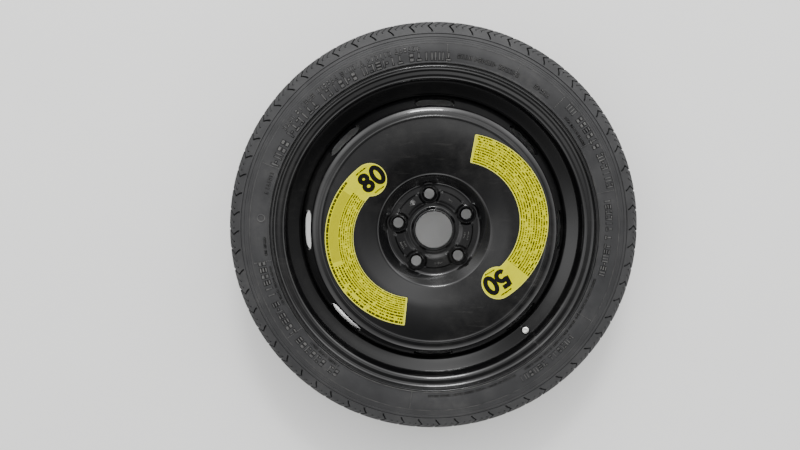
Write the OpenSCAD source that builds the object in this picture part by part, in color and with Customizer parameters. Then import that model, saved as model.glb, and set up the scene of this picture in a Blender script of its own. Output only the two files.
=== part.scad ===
// Temporary-use spare wheel: a narrow tyre on a pressed and welded steel wheel, with two
// speed labels and a rubber snap-in valve. It lies on its inboard side with its axis along Z.
// The origin is the centre of the hub mounting face and +Z points outboard. Millimetres.

/* [Rim] */
// Diameter over the bead seats, 18 inch size code
rim_d = 462; // [440:1:480]
// Width between the two flanges, 4 inches
rim_w = 101.6; // [98:0.2:112]
// Hub mounting face to the middle plane of the rim
wheel_offset = 28; // [24:0.5:31]
// Sheet thickness of the rolled rim
rim_t = 2.8; // [2:0.1:3.2]
// Height of the flanges over the bead seats
flange_h = 17.3; // [15:0.1:19]
// Radius of the flange curl on the tyre side
flange_curl_r = 9.5; // [8:0.1:11]
// Straight end of the lip past the curl
lip_straight = 1.3; // [0.5:0.1:3]
// Fillet between bead seat and flange
heel_r = 5; // [3:0.1:6.5]
// Width of a bead seat, up to its safety hump
seat_w = 17.5; // [16:0.5:19]
// Taper of a bead seat in degrees
seat_taper = 5; // [3:0.5:6]
// Height of a safety hump
hump_h = 0.9; // [0.5:0.1:1.4]
// Depth of the well under the bead seats
well_depth = 21.8; // [20:0.2:22.6]
// Tilt of the outboard well wall, which carries the valve, in degrees
wall_tilt = 18.5; // [14:0.5:21]
// Middle plane to the foot of the inboard well wall
well_foot_in = 15; // [10:1:18]

/* [Disc] */
// Sheet thickness of the pressed disc
disc_t = 4; // [3.2:0.1:4.6]
// Diameter of the hub bore
bore_d = 57.1; // [50:0.1:64]
// Height of the bore collar over the mounting face
collar_h = 11; // [9:0.5:13]
// Width of the collar's flat top
collar_land = 2.6; // [1.5:0.1:4]
// Run of the collar's outer flank
collar_flank = 4; // [2:0.5:5]
// Radius of the flat nave
nave_r = 71; // [69.5:0.5:72.5]
// Run of the wall from the nave up to the crease
wall_run = 16; // [14:0.5:18]
// Height of the crease over the mounting face
crease_h = 21.5; // [18:0.5:23]
// Where the face levels off, in percent of the way from crease to crest
level_at = 33; // [28:0.5:38]
// Height of the face there
level_h = 26.5; // [25:0.5:27.5]
// Height of the crest near the outer shoulder
crest_h = 30; // [28.5:0.5:31]
// Where the long rise to the crest ends, in percent of the same way
ridge_at = 61.5; // [55:0.5:68]
// Height of the low bead that runs round the crest
crest_bead = 0.8; // [0.4:0.1:1.2]
// Width of that bead
crest_bead_w = 6; // [5:0.2:7]
// Run of the ramp on the bead's inner side
crest_bead_ramp = 2.8; // [2.2:0.1:3]
// Crest to the wall of the rim well
crest_inset = 30; // [28:0.5:34]
// Width of the shoulder band outside the crest
shoulder_w = 10.5; // [8:0.5:13]
// Drop of the shoulder band
shoulder_drop = 4; // [2:0.5:6]
// Foot of the outer slope, under the mounting face
slope_foot = 8; // [6:0.5:10]
// Length of the skirt that is pressed into the well
skirt_len = 18; // [14:1:19]
// Press fit gap left between skirt and well
skirt_gap = 0.1; // [0.05:0.05:0.2]

/* [Windows] */
// Number of windows in the outer slope
window_count = 8; // [4:1:9]
// Length of a window round the wheel
window_w = 62; // [50:1:66]
// Height of a window along the slope
window_h = 30; // [20:0.5:31]

/* [Bolt holes] */
// Number of bolt holes
bolt_count = 5; // [4:1:5]
// Bolt circle diameter
bolt_circle_d = 112; // [110:0.5:114]
// Turn of the first bolt hole from +X in degrees
bolt_turn = 25.2; // [0:0.2:70]
// Diameter of the bolt holes
bolt_hole_d = 15.8; // [14:0.1:17]
// Radius of the ball seats
ball_seat_r = 13; // [12:0.1:14]
// Height of a bolt boss over the nave
boss_h = 5.5; // [4:0.25:6]
// Radius of a boss at its top
boss_top_r = 13; // [12.6:0.1:13.6]
// Radius of a boss at its foot
boss_foot_r = 15; // [14.4:0.1:15.8]
// Radius of the pocket that clears a bolt head
pocket_r = 18; // [16.5:0.5:19]
// Height of the raised pads between the bosses
pad_h = 2; // [1:0.25:2.5]
// Inner radius of the pads
pad_r_in = 42; // [41:0.5:44]
// Outer radius of the pads
pad_r_out = 61; // [58:0.5:62]
// Width of the sloped pad edges
pad_edge = 1.5; // [0.5:0.25:2.5]
// Diameter of the small hole in one pad
pin_hole_d = 8.4; // [6:0.1:9]
// Radius at which the small hole sits
pin_hole_at = 53; // [50:0.5:54]
// Direction of the small hole from the first bolt hole
pin_hole_turn = 103.2; // [95:0.2:112]

/* [Welds] */
// Number of weld seams between disc and rim
weld_count = 8; // [4:1:9]
// Leg of the seam's three-cornered section
weld_leg = 4; // [3:0.5:5]
// Length of one seam in degrees
weld_span = 24; // [15:1:30]

/* [Tyre] */
// Bulge of a sidewall past the rim's flange
side_bulge = 11.7; // [10.2:0.1:13.2]
// Section height as a share of the section width, in percent
tyre_aspect = 70; // [68:0.5:72]
// Thickness of the tread and its belts
tread_t = 10.5; // [9:0.5:12]
// Thickness of the sidewalls
side_t = 6.5; // [5:0.5:8]
// Width of the tread in percent of the section width
tread_share = 74.4; // [71:0.1:77]
// Drop of the crown at the tread edge
crown_drop = 3; // [2:0.5:4]
// Height of the buttress below the tread edge
buttress_h = 19; // [17:0.5:21]
// Width of the circumferential grooves
groove_w = 7; // [4:0.5:9]
// Depth of the circumferential grooves
groove_depth = 4.5; // [3:0.5:5.5]
// Distance between the circumferential grooves
groove_pitch = 24; // [20:1:26]
// Gap between the tyre bead and the rim
bead_gap = 0.2; // [0.1:0.05:0.3]

/* [Labels] */
// Thickness of the label film
label_t = 0.18; // [0.12:0.02:0.3]
// Glue line under the film
glue_t = 0.12; // [0.08:0.01:0.2]
// Outer radius of a label's band, in percent of the crest's radius
label_out = 77.4; // [74.5:0.1:77.6]
// Width of a label's band, in percent of its outer radius
label_band = 32.6; // [29:0.2:34]
// Radius of a label's round head, in percent of its outer radius
label_head = 18.9; // [17.5:0.1:19.1]
// Angle from the square end to the middle of the head
label_span = 137.1; // [120:0.1:140]
// Middle of the left label's arc, in percent of its outer radius
left_label_at = [-22.7, -8.1];
// Direction of the left label's square end
left_label_turn = 264.1; // [258:0.1:270]
// Middle of the right label's arc, in percent of its outer radius
right_label_at = [27.1, 8.8];
// Direction of the right label's square end
right_label_turn = 80.4; // [75:0.1:86]

/* [Valve] */
// Direction of the valve from +X
valve_turn = -47.6; // [-60:0.1:-40]
// Distance of the valve hole from the top of the well wall
valve_drop = 10.5; // [10:0.1:11]
// Diameter of the valve hole in the rim
valve_hole_d = 11.5; // [11:0.1:12]
// Diameter of the rubber collar outside the rim
collar_rubber_d = 15.6; // [14:0.1:16]
// Diameter of the rubber bulb inside the rim
bulb_d = 15.8; // [14.5:0.1:16]
// Length of the rubber outside the rim
rubber_len = 13; // [11:0.5:15]
// Height of the stem over the rim wall
stem_len = 24; // [22:0.5:27]
// Diameter of the stem's thread
stem_d = 7.7; // [7.4:0.1:8]
// Diameter of the stem inside the rubber
stem_root_d = 5.8; // [5.4:0.1:6.4]
// Diameter of the air way in the stem
air_way_d = 4; // [3.6:0.1:4.2]
// Diameter of the valve cap
cap_d = 10.6; // [10:0.1:11.5]
// Length of the valve cap
cap_len = 12.5; // [11:0.5:14]
// Thickness of the cap's end
cap_end = 2.2; // [1.8:0.1:3]
// Gap between the cap and the stem
cap_gap = 0.25; // [0.2:0.05:0.4]
// Diameter of the core's pin
pin_d = 1.1; // [0.9:0.1:1.3]
// Travel of the core's pin
pin_travel = 1.5; // [1:0.1:1.6]

/* [Hidden] */
$fn = 96;
// Largest step of a rounded corner in degrees
arc_step = 8;
// Longest flat on a rounded corner
chord_max = 9;
// Overshoot of cutting tools
over = 1;

// Plane geometry: a path is a list of [radius, height, fillet]
function flat(p) = [p[0], p[1]];
function unit(v) = v / norm(v);
function left_of(v) = [-v[1], v[0]];
function cross2(a, b) = a[0] * b[1] - a[1] * b[0];
function turned(v, a) = [v[0] * cos(a) - v[1] * sin(a), v[0] * sin(a) + v[1] * cos(a)];
function reversed(list) = [for (i = [len(list) - 1:-1:0]) list[i]];
function mirrored(path) = reversed([for (p = path) [p[0], -p[1], p[2]]]);

// Length and direction of the leg from point i of a path to point j
function leg(path, i, j) = norm(flat(path[j]) - flat(path[i]));
function toward(path, i, j) = unit(flat(path[j]) - flat(path[i]));
function sharp(path, i) = i <= 0 || i >= len(path) - 1 || path[i][2] <= 0;
function half_angle(path, i) = acos(toward(path, i, i - 1) * toward(path, i, i + 1)) / 2;

// How far the fillet of point i would reach along its legs, and how far its neighbours let it
function wish(path, i) = sharp(path, i) ? 0 : path[i][2] / tan(half_angle(path, i));
function reach(path, i) =
    wish(path, i) * min(1,
        0.98 * leg(path, i, i - 1) / (wish(path, i) + wish(path, i - 1)),
        0.98 * leg(path, i, i + 1) / (wish(path, i) + wish(path, i + 1)));

// The arc that rounds point i of a path
function corner(path, i) =
    let (
        u = toward(path, i, i - 1),
        v = toward(path, i, i + 1),
        half = half_angle(path, i),
        r = reach(path, i) * tan(half),
        c = flat(path[i]) + unit(u + v) * r / sin(half),
        start = flat(path[i]) + u * reach(path, i) - c,
        bend = 180 - 2 * half,
        sweep = cross2(u, v) > 0 ? -bend : bend,
        n = max(1, ceil(bend / arc_step), ceil(r * bend / 57.3 / chord_max))
    )
    [for (k = [0:n]) c + turned(start, sweep * k / n)];

// A path with its corners rounded, as plain points
function rounded(path) =
    [for (i = [0:len(path) - 1]) each sharp(path, i) ? [flat(path[i])] : corner(path, i)];

// The same path moved to its left by t, so that a sheet keeps its thickness round a bend
function shifted(path, t) =
    [for (i = [0:len(path) - 1])
        let (
            d2 = unit(flat(path[min(i + 1, len(path) - 1)]) - flat(path[min(i, len(path) - 2)])),
            d1 = unit(flat(path[max(i, 1)]) - flat(path[max(i - 1, 0)])),
            q = flat(path[i]) + t * (left_of(d1) + left_of(d2)) / (1 + d1 * d2),
            r = path[i][2] - (cross2(d1, d2) > 0 ? t : -t)
        )
        [q[0], q[1], path[i][2] <= 0 ? 0 : max(0.4, r)]];

// Rim: its tyre side from the outboard lip to the inboard lip, heights from the middle plane
seat_r = rim_d / 2;
well_r = seat_r - well_depth;
seat_in_z = rim_w / 2 - seat_w;
seat_in_r = seat_r - seat_w * tan(seat_taper);
hump_z = seat_in_z - 3;
wall_top_z = hump_z - 3.4;
wall_top_r = seat_in_r;
lip_z = rim_w / 2 + flange_curl_r + lip_straight;
function rim_flange(side) = [
    [seat_r + flange_h, lip_z, 0],
    [seat_r + flange_h, rim_w / 2, flange_curl_r],
    [seat_r, rim_w / 2, heel_r],
    [seat_in_r, seat_in_z, 2.5],
    [seat_in_r + hump_h, hump_z, 3.5],
    [wall_top_r, wall_top_z, 4]];
well_foot_out = wall_top_z - (wall_top_r - well_r) * tan(wall_tilt);
rim_path = concat(
    rim_flange(),
    [[well_r, well_foot_out, 4], [well_r, -well_foot_in, 8]],
    mirrored(rim_flange()));

// Disc: its outboard face from the nave to the end of the skirt, heights from the mounting face
bore_r = bore_d / 2;
skirt_r = well_r - rim_t - skirt_gap;
crease_r = nave_r + wall_run;
crest_r = skirt_r - crest_inset;
shoulder_r = crest_r + shoulder_w;
shoulder_h = crest_h - shoulder_drop;
face_run = [
    [crease_r, crease_h, 7],
    [crease_r + (crest_r - crease_r) * level_at / 100, level_h, 160],
    [crease_r + (crest_r - crease_r) * ridge_at / 100, crest_h - crest_bead - 0.3, 400],
    [crest_r - crest_bead_w, crest_h - crest_bead, 5],
    [crest_r - crest_bead_w + crest_bead_ramp, crest_h, 5],
    [crest_r, crest_h, 7]];
slope_run = [
    [shoulder_r, shoulder_h, 4],
    [skirt_r, -slope_foot, 7],
    [skirt_r, -slope_foot - skirt_len, 0]];
disc_face = concat([[bore_r + 12, disc_t, 0], [nave_r, disc_t, 5]], face_run, slope_run);
collar_run = [
    [bore_r, collar_h, 0],
    [bore_r + collar_land, collar_h, 1.4],
    [bore_r + collar_land + collar_flank, disc_t, 2.5]];
collar_back = [[bore_r, 2.4, 0], [bore_r + 0.8, 0.8, 0], [bore_r + 2.4, 0, 0]];

// Middle of the outer slope, and the tilt of its normal from the axis
slope_mid = [(shoulder_r + skirt_r) / 2, 0, (shoulder_h - slope_foot) / 2];
slope_tilt = atan2(shoulder_h + slope_foot, skirt_r - shoulder_r);

// Tyre: outer and inner half sections from the bead toe to the crown
tyre_w = rim_w + 2 * side_bulge;
tread_w = tyre_w * tread_share / 100;
bead_r = seat_r + bead_gap;
bead_z = rim_w / 2 - bead_gap;
section_r = (rim_d - 4.8) / 2 + tyre_w * tyre_aspect / 100;
edge_r = section_r - crown_drop;
edge_z = tread_w / 2;
side_z = tyre_w / 2;
rib_r = edge_r - buttress_h;
curl_leave = [seat_r + flange_h - flange_curl_r + (flange_curl_r + bead_gap) * sin(60),
              rim_w / 2 + flange_curl_r - (flange_curl_r + bead_gap) * cos(60)];
tyre_outer = [
    [bead_r - (seat_w - 3) * tan(seat_taper), bead_z - seat_w + 3, 0],
    [bead_r, bead_z, heel_r + 0.3],
    [curl_leave[0] - (curl_leave[1] - bead_z) / tan(60), bead_z, flange_curl_r + bead_gap],
    [seat_r + flange_h + 1.6, side_z - 2.6, 1.5],
    [seat_r + flange_h + 2.6, side_z - 1.2, 0.4],
    [seat_r + flange_h + 3.8, side_z - 1.2, 0.4],
    [seat_r + flange_h + 4.4, side_z - 1.7, 0.4],
    [seat_r + flange_h + 20, side_z, 50],
    [rib_r - 12.6, side_z - 2.0, 4],
    [rib_r - 12.2, side_z - 2.6, 0],
    [rib_r - 5.6, side_z - 4.4, 0],
    [rib_r - 5.2, side_z - 3.8, 0.4],
    [rib_r - 1.8, side_z - 4.9, 0.4],
    [rib_r - 1.4, side_z - 6.2, 0],
    [rib_r - 0.4, side_z - 6.5, 0],
    [rib_r, side_z - 5.6, 0.5],
    [edge_r - 6, edge_z + 4.4, 8],
    [edge_r, edge_z - 1, 3],
    [section_r - 0.3 * crown_drop, edge_z * 0.6, 40],
    [section_r, 0, 0]];
tyre_inner = [
    [bead_r - (seat_w - 3) * tan(seat_taper) + 0.8, bead_z - seat_w + 2, 0],
    [seat_r + 6, bead_z - 13, 8],
    [seat_r + flange_h + 2, side_z - side_t - 4.5, 12],
    [seat_r + flange_h + 20, side_z - side_t, 40],
    [rib_r - 6, side_z - side_t - 5, 12],
    [section_r - tread_t - 2, edge_z - 4, 12],
    [section_r - tread_t, 0, 0]];

// Labels: sizes from their shares
label_r_out = crest_r * label_out / 100;
label_r_in = label_r_out * (1 - label_band / 100);
label_head_r = label_r_out * label_head / 100;

// Valve: a frame on the outboard wall of the well, tilted with that wall
valve_at = wall_top_r - valve_drop;
wall_face_z = wall_top_z - (wall_top_r - valve_at) * tan(wall_tilt)
            + rim_t / cos(wall_tilt) - wheel_offset;
cap_bottom = stem_len + 0.6 + cap_end - cap_len;
core_top = stem_len - 0.6;
spring_floor = core_top - 3.1 - pin_travel;
barrel_len = 10;
neck_d = 2.8;

// Places its children with Z along the valve and zero on the rim wall
module on_valve() {
    rotate([0, 0, valve_turn])
        translate([valve_at, 0, wall_face_z])
            rotate([0, -wall_tilt, 0])
                children();
}

// A full turn of a closed outline
module turn(points) {
    rotate_extrude($fn = 180)
        polygon(points);
}

// A plain tube standing on z
module tube(d_out, d_in, z, h) {
    translate([0, 0, z])
        difference() {
            cylinder(d = d_out, h = h);
            translate([0, 0, -over])
                cylinder(d = d_in, h = h + 2 * over);
        }
}

// Copies at the bolt holes
module at_bolts() {
    for (i = [0:bolt_count - 1])
        rotate([0, 0, bolt_turn + i * 360 / bolt_count])
            translate([bolt_circle_d / 2, 0, 0])
                children();
}

module tyre() {
    outer = rounded(tyre_outer);
    inner = rounded(tyre_inner);
    color([0.13, 0.13, 0.14])
        translate([0, 0, -wheel_offset])
            difference() {
                turn(concat(outer, reversed([for (p = outer) [p[0], -p[1]]]),
                            [for (p = inner) [p[0], -p[1]]], reversed(inner)));
                for (k = [-1:1])
                    tube(2 * section_r + 10, 2 * (section_r - groove_depth),
                         k * groove_pitch - groove_w / 2, groove_w);
            }
}

module rim() {
    color([0.05, 0.05, 0.055])
        difference() {
            translate([0, 0, -wheel_offset])
                turn(concat(rounded(rim_path), reversed(rounded(shifted(rim_path, -rim_t)))));
            on_valve()
                translate([0, 0, -rim_t - 5])
                    cylinder(d = valve_hole_d, h = rim_t + 10);
        }
}

// One window cutter: a slot with round ends, square to the outer slope
module window() {
    end_at = (window_w - window_h) / 2;
    translate(slope_mid)
        rotate([0, slope_tilt, 0])
            translate([0, 0, -disc_t - 4]) {
                for (s = [-1, 1])
                    translate([0, s * end_at, 0])
                        cylinder(d = window_h, h = disc_t + 12);
                translate([-window_h / 2, -end_at, 0])
                    cube([window_h, 2 * end_at, disc_t + 12]);
            }
}

// The ring of raised pads, without its bosses; grow makes it wider on each side
module pad_ring(z, h, grow) {
    difference() {
        turn([[pad_r_in - grow, z], [pad_r_in + pad_edge - grow, z + h],
              [pad_r_out - pad_edge + grow, z + h], [pad_r_out + grow, z]]);
        at_bolts()
            translate([0, 0, z - over])
                cylinder(r = boss_foot_r + 0.5, h = h + 2 * over);
    }
}

module disc() {
    face = concat(collar_run, disc_face);
    back = concat(collar_back, shifted(disc_face, -disc_t));
    boss_top = disc_t + boss_h;
    seat_mid = boss_top + sqrt(pow(ball_seat_r, 2) - pow(boss_top_r - 0.7, 2));
    color([0.045, 0.045, 0.05])
        difference() {
            union() {
                difference() {
                    turn(concat(rounded(face), reversed(rounded(back))));
                    // Room for the bolt heads in the foot of the wall
                    at_bolts()
                        translate([0, 0, disc_t + 0.3])
                            cylinder(r = pocket_r, h = crease_h);
                }
                pad_ring(disc_t - 0.01, pad_h + 0.01, 0);
                at_bolts()
                    translate([0, 0, disc_t - 0.01])
                        cylinder(r1 = boss_foot_r, r2 = boss_top_r, h = boss_h + 0.01);
            }
            // The pads show on the back as shallow recesses
            translate([0, 0, -0.01])
                pad_ring(0, pad_h, -1);
            at_bolts() {
                translate([0, 0, -over])
                    cylinder(d = bolt_hole_d, h = boss_top + 2 * over);
                translate([0, 0, seat_mid])
                    sphere(r = ball_seat_r);
            }
            rotate([0, 0, bolt_turn + pin_hole_turn])
                translate([pin_hole_at, 0, -over])
                    cylinder(d = pin_hole_d, h = disc_t + pad_h + 2 * over);
            for (i = [0:window_count - 1])
                rotate([0, 0, i * 360 / window_count])
                    window();
        }
}

// One seam of weld metal under the end of the skirt
module weld_seam(i) {
    z = -slope_foot - skirt_len;
    color([0.16, 0.15, 0.15])
        rotate([0, 0, (i - 0.5) * 360 / weld_count - weld_span / 2])
            rotate_extrude(angle = weld_span, $fn = 180)
                polygon([[skirt_r, z], [skirt_r - weld_leg * 0.85, z],
                         [skirt_r - weld_leg * 0.5, z - weld_leg * 0.65],
                         [skirt_r, z - weld_leg]]);
}

// The outline of a label as a block: an arc band that ends in a round head
module label_block(at, turn_to) {
    head_at = label_r_out - label_head_r;
    reach = 2 * label_r_out;
    translate([at[0], at[1], 0])
        rotate([0, 0, turn_to]) {
            intersection() {
                tube(2 * label_r_out, 2 * label_r_in, 0, 2 * crest_h);
                linear_extrude(2 * crest_h)
                    polygon([[0, 0], [reach, 0], reach * [cos(60), -sin(60)],
                             reach * [cos(label_span), -sin(label_span)]]);
            }
            rotate([0, 0, -label_span])
                translate([head_at, 0, 0])
                    cylinder(r = label_head_r, h = 2 * crest_h);
        }
}

// A label: the thin layer over the disc's face that lies inside the outline
module speed_label(at, turn_to) {
    under = rounded(shifted(face_run, glue_t));
    top = rounded(shifted(face_run, glue_t + label_t));
    color([0.96, 0.93, 0.12])
        intersection() {
            turn(concat(top, reversed(under)));
            label_block(at, turn_to);
        }
}

module speed_label_left() {
    speed_label(left_label_at * label_r_out / 100, left_label_turn);
}

module speed_label_right() {
    speed_label(right_label_at * label_r_out / 100, right_label_turn);
}

// The rubber body: a bulb inside the rim, a neck in the hole and a tapered outer sleeve
module valve_body() {
    neck_r = valve_hole_d / 2 - 0.05;
    inside = -rim_t - 0.1;
    body = [
        [stem_root_d / 2, inside - 7.5, 0],
        [neck_r - 0.6, inside - 7.5, 1],
        [bulb_d / 2, inside - 3.2, 1],
        [bulb_d / 2, inside, 0.5],
        [neck_r, inside, 0],
        [neck_r, 0.1, 0],
        [collar_rubber_d / 2, 0.1, 0.8],
        [collar_rubber_d / 2 - 0.4, 2.6, 1.5],
        [stem_d / 2 + 1.6, 7, 3],
        [stem_d / 2 + 0.9, rubber_len, 0.6],
        [stem_root_d / 2, rubber_len, 0]];
    color([0.07, 0.07, 0.075])
        on_valve()
            turn(rounded(body));
}

// The brass stem: a thin root inside the rubber and the outer thread with its mouth
module valve_stem() {
    root = -rim_t - 6;
    shape = [
        [air_way_d / 2, root, 0],
        [stem_root_d / 2, root, 0],
        [stem_root_d / 2, rubber_len, 0],
        [stem_d / 2, rubber_len, 0],
        [stem_d / 2, stem_len - 0.6, 0],
        [stem_d / 2 - 0.6, stem_len, 0],
        [2.7, stem_len, 0],
        [2.65, stem_len - 6.2, 0],
        [air_way_d / 2 + 0.15, stem_len - 7.4, 0],
        [air_way_d / 2, stem_len - 12, 0]];
    color([0.72, 0.58, 0.32])
        on_valve()
            turn([for (p = shape) flat(p)]);
}

// The screwed cap, with a shallow dimple in its end
module valve_cap() {
    bore = stem_d / 2 + cap_gap;
    top = cap_bottom + cap_len;
    shape = [
        [bore, cap_bottom, 0],
        [cap_d / 2 - 0.2, cap_bottom, 0.3],
        [cap_d / 2, cap_bottom + 3, 0],
        [cap_d / 2, top, 1.4],
        [1.6, top, 0.4],
        [0.8, top - 0.7, 0],
        [0, top - 0.7, 0],
        [0, top - cap_end + 0.4, 0],
        [bore, top - cap_end + 0.4, 0]];
    color([0.82, 0.83, 0.83])
        on_valve()
            turn(rounded(shape));
}

// The soft ring in the end of the cap, just clear of the stem's mouth
module valve_cap_seal() {
    color([0.10, 0.10, 0.10])
        on_valve()
            tube(stem_d - 0.2, 4.4, stem_len + 0.15, 0.8);
}

// The screwed plug of the valve core, with a neck that carries the gasket
module valve_core_barrel() {
    color([0.75, 0.62, 0.35])
        on_valve()
            difference() {
                union() {
                    translate([0, 0, core_top - 5])
                        cylinder(d = 5.2, h = 5);
                    translate([0, 0, core_top - barrel_len])
                        cylinder(d = neck_d, h = barrel_len - 5 + over);
                }
                translate([0, 0, spring_floor])
                    cylinder(d = 3.2, h = 6);
                translate([0, 0, core_top - barrel_len - over])
                    cylinder(d = pin_d + 0.5, h = barrel_len + over);
            }
}

module valve_core_gasket() {
    color([0.55, 0.10, 0.08])
        on_valve()
            tube(air_way_d, neck_d, core_top - 8.6, 2.2);
}

// The pin, with the collar that its spring pushes up
module valve_core_pin() {
    color([0.80, 0.72, 0.48])
        on_valve() {
            translate([0, 0, core_top - barrel_len - 3.2])
                cylinder(d = pin_d, h = barrel_len + 3.6);
            translate([0, 0, core_top - 1.1])
                cylinder(d = 2.4, h = 0.5);
        }
}

// The cup on the pin's lower end, which closes the barrel from below
module valve_core_cup() {
    color([0.70, 0.58, 0.34])
        on_valve()
            tube(3.3, pin_d, core_top - barrel_len - 2.2, 1.9);
}

// The coil between the pin's collar and the floor of the barrel, as one swept strip of rings
module valve_core_spring() {
    wire = 0.17;
    coil_r = 1.05;
    turns = 4;
    low = spring_floor + wire + 0.05;
    high = core_top - 1.1 - wire - 0.05;
    steps = turns * 14;
    sides = 6;
    points = [
        for (i = [0:steps])
            for (k = [0:sides - 1])
                let (
                    a = 360 * turns * i / steps,
                    w = 360 * k / sides,
                    r = coil_r + wire * cos(w)
                )
                [r * cos(a), r * sin(a), low + (high - low) * i / steps + wire * sin(w)]];
    sweep = [
        for (i = [0:steps - 1])
            for (k = [0:sides - 1])
                let (n = (k + 1) % sides)
                [i * sides + k, i * sides + n, (i + 1) * sides + n, (i + 1) * sides + k]];
    ends = [[for (k = [0:sides - 1]) sides - 1 - k], [for (k = [0:sides - 1]) steps * sides + k]];
    color([0.70, 0.70, 0.72])
        on_valve()
            polyhedron(points, concat(sweep, ends));
}

tyre();
rim();
disc();
weld_seam(1);  // weld_seam_1
weld_seam(2);  // weld_seam_2
weld_seam(3);  // weld_seam_3
weld_seam(4);  // weld_seam_4
weld_seam(5);  // weld_seam_5
weld_seam(6);  // weld_seam_6
weld_seam(7);  // weld_seam_7
weld_seam(8);  // weld_seam_8
speed_label_left();
speed_label_right();
valve_body();
valve_stem();
valve_cap();
valve_cap_seal();
valve_core_barrel();
valve_core_gasket();
valve_core_pin();
valve_core_cup();
valve_core_spring();
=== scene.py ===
# %% [markdown]
# A temporary-use spare wheel: a narrow tyre on a black pressed steel wheel. The frame below
# brings the solids in at their real size. Every piece made here is a surface worked out with
# numpy in the same place as the solid it dresses, so nothing has to be fitted afterwards.

# %% Load the frame
import bpy
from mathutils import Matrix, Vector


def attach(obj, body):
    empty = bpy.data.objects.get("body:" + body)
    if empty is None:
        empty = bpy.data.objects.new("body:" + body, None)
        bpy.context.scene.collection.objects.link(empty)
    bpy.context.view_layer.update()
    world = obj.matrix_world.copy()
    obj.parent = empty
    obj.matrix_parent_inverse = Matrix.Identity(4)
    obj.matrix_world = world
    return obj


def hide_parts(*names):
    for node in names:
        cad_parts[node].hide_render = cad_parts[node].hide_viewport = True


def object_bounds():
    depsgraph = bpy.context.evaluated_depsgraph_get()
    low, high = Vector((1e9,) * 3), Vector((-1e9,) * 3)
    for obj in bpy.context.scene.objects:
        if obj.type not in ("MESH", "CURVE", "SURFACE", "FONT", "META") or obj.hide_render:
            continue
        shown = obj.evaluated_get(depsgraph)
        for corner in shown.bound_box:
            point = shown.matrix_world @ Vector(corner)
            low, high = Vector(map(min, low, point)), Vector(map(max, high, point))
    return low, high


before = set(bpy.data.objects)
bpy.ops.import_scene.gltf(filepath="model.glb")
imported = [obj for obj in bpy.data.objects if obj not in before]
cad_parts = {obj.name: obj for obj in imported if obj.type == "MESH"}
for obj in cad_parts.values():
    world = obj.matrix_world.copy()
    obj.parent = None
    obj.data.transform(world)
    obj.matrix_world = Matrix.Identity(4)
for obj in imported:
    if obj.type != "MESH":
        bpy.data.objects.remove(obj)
solid_box = [list(corner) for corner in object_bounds()]

import bpy
import math
import numpy as np
from mathutils import Matrix, Vector
from mathutils.geometry import delaunay_2d_cdt

MM = 0.001
TAU = 2 * math.pi
print("solids", len(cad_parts), "box", solid_box)

# %% [markdown]
# The wheel lies on its back and the camera looks down on it from a metre above, a little off
# its axis. The camera's place and lens come from fitting circles of known size to where they
# appear.

# %% Camera
eye = Vector((-0.0652, 0.0929, 0.9947))
look_along = Vector((0.01287, -0.08653, -0.99617)).normalized()
look_right = Vector((0.99992, 0.0, 0.01292)).normalized()
look_up = look_right.cross(look_along).normalized()
camera_data = bpy.data.cameras.new("camera")
camera_data.lens = 28.75
camera_data.sensor_width = 36.0
camera_data.clip_start = 0.01
camera = bpy.data.objects.new("camera", camera_data)
bpy.context.scene.collection.objects.link(camera)
camera_turn = Matrix((look_right, look_up, -look_along)).transposed().to_4x4()
camera.matrix_world = Matrix.Translation(eye) @ camera_turn
bpy.context.scene.camera = camera
print("camera at", tuple(round(c, 3) for c in eye))

# %% [markdown]
# Shader maths reads best as plain sums. This class wraps one socket: adding, multiplying or
# comparing it makes the Math node, and one method brings in any other node.


# %% Shader helper
class Wire:
    """A socket of a node tree. Sums on it add Math nodes; node() adds any other node."""

    def __init__(self, tree, socket=None):
        self.tree, self.socket = tree, socket

    def put(self, socket, value):
        if isinstance(value, Wire):
            self.tree.links.new(value.socket, socket)
        else:
            socket.default_value = value

    def node(self, kind, inputs=(), out=0, **settings):
        """Add a node: its settings first, then the values or links it reads."""
        made = self.tree.nodes.new(kind)
        for key, value in settings.items():
            setattr(made, key, value)
        for key, value in dict(inputs).items():
            self.put(made.inputs[key], value)
        return Wire(self.tree, made.outputs[out])

    def math(self, operation, *values):
        return self.node("ShaderNodeMath", dict(enumerate((self,) + values)), operation=operation)

    def __add__(self, other): return self.math("ADD", other)
    def __radd__(self, other): return self.math("ADD", other)
    def __sub__(self, other): return self.math("SUBTRACT", other)
    def __rsub__(self, other): return (self * -1) + other
    def __mul__(self, other): return self.math("MULTIPLY", other)
    def __rmul__(self, other): return self.math("MULTIPLY", other)
    def __gt__(self, other): return self.math("GREATER_THAN", other)
    def __lt__(self, other): return self.math("LESS_THAN", other)

    def clip(self, low, high):
        """0 below low, 1 above high and a straight line between them."""
        return self.node("ShaderNodeMapRange", {"Value": self, "From Min": low, "From Max": high})

    def tint(self, first, second):
        """Mix two colours by this socket."""
        return self.node("ShaderNodeMix", {0: self, 6: first, 7: second}, out=2,
                         data_type="RGBA", clamp_factor=True)


def noise(place, scale, detail=2.0, rough=0.5):
    """Cloudy noise, 0 to 1, with about scale bumps in a metre."""
    return place.node("ShaderNodeTexNoise", {"Vector": place, "Scale": scale, "Detail": detail,
                                             "Roughness": rough})


def stretched(place, scales):
    """The same place with each axis scaled, for brushed or scratched patterns."""
    return place.node("ShaderNodeMapping", {"Vector": place, "Scale": scales})


def finish(name, paint, **constants):
    """A material whose Principled shader has constants on its sockets and what paint() returns."""
    material = bpy.data.materials.new(name)
    material.use_nodes = True
    tree = material.node_tree
    shader = tree.nodes["Principled BSDF"]
    for key, value in constants.items():
        shader.inputs[key.replace("_", " ")].default_value = value
    start = Wire(tree)
    place = start.node("ShaderNodeTexCoord", out="Object")
    for key, value in paint(place).items():
        start.put(shader.inputs[key], value)
    return material


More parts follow.
